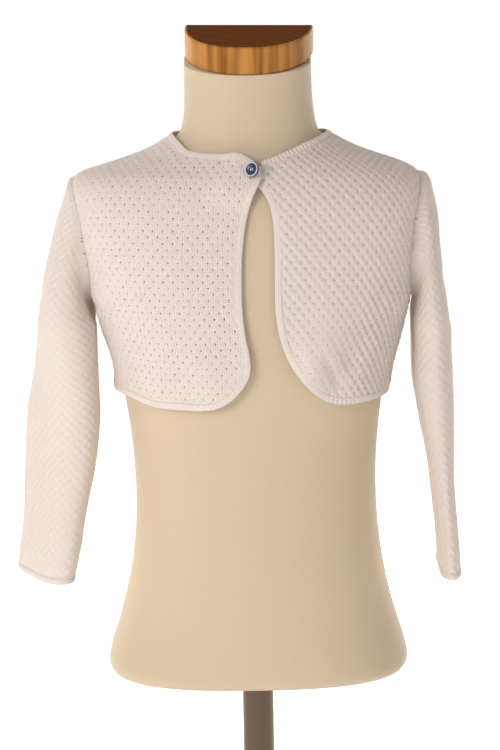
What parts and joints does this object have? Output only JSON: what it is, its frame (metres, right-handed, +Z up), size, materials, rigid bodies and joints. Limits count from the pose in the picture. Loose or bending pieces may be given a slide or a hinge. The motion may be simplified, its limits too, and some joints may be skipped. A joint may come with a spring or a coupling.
{
  "type": "cropped knitted cardigan on a limbless child dress form",
  "caption": "Cropped child's cardigan in openwork knit, buttoned at the round neck, with curved-away fronts and long sleeves, worn on a limbless dress form with a short pole stand.",
  "frame": {"origin": "middle of the stand's underside, on the surface it stands on", "axes": "+Z up along the pole, the cardigan's front faces -Y, the wearer's right is -X"},
  "size_m": [0.3356, 0.24, 0.6809],
  "materials": {
    "knit": "off-white cotton knit with raised knots and small holes, matt",
    "jersey": "cream cotton jersey, matt",
    "wood": "lacquered orange-brown wood with dark grain, satin",
    "steel": "brushed, warm bronze tone",
    "button": "navy, glossy, with a raised rim"
  },
  "bodies": {
    "root": {"back": "knit", "right_front": "knit", "left_front": "knit", "right_sleeve": "knit", "left_sleeve": "knit", "right_front_band": "knit", "left_front_band": "knit", "back_hem_band": "knit", "neckband": "knit", "right_cuff": "knit", "left_cuff": "knit", "button": "button", "form_torso": "jersey", "neck_cap": "wood", "pole": "steel", "base": "steel"}
  },
  "joints": []
}
